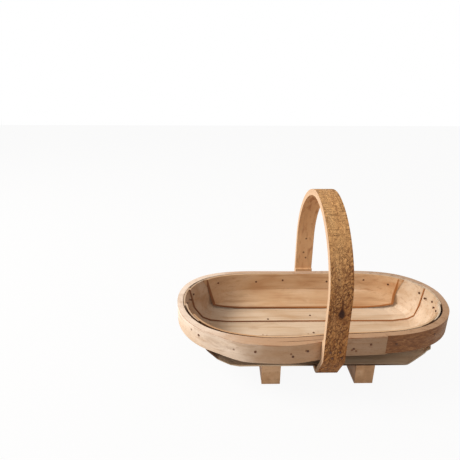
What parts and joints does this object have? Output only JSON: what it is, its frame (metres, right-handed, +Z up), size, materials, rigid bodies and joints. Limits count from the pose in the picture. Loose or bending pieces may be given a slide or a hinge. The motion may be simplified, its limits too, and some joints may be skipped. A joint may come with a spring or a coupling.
{
  "type": "wooden trug basket",
  "caption": "Shallow garden trug of thin boards bent up inside a lapped rim hoop, with a tall bow handle nailed round the outside and two cross bearers as feet",
  "frame": {"origin": "on the ground under the middle of the handle's bow, at the centre of the base", "axes": "+X along the basket, +Y to the rear, +Z up"},
  "size_m": [0.4001, 0.2268, 0.2595],
  "materials": {
    "rim_willow": "dull weathered",
    "handle_chestnut": "rough bark side, dull",
    "board_willow": "smooth dull",
    "foot_wood": "sawn dull",
    "nail_steel": "dull, slightly rusted"
  },
  "bodies": {
    "root": {"rim": "rim_willow", "handle": "handle_chestnut", "centre_board": "board_willow", "second_board_front": "board_willow", "second_board_rear": "board_willow", "side_board_front": "board_willow", "side_board_rear": "board_willow", "foot_left": "foot_wood", "foot_right": "foot_wood", "nails_left_end": "nail_steel", "nails_right_end": "nail_steel", "nails_rear_side": "nail_steel", "nails_front_side": "nail_steel", "nails_rim_lap": "nail_steel", "handle_nails_front": "nail_steel", "handle_nails_rear": "nail_steel", "handle_nails_under": "nail_steel", "foot_nails_left": "nail_steel", "foot_nails_right": "nail_steel"}
  },
  "joints": []
}
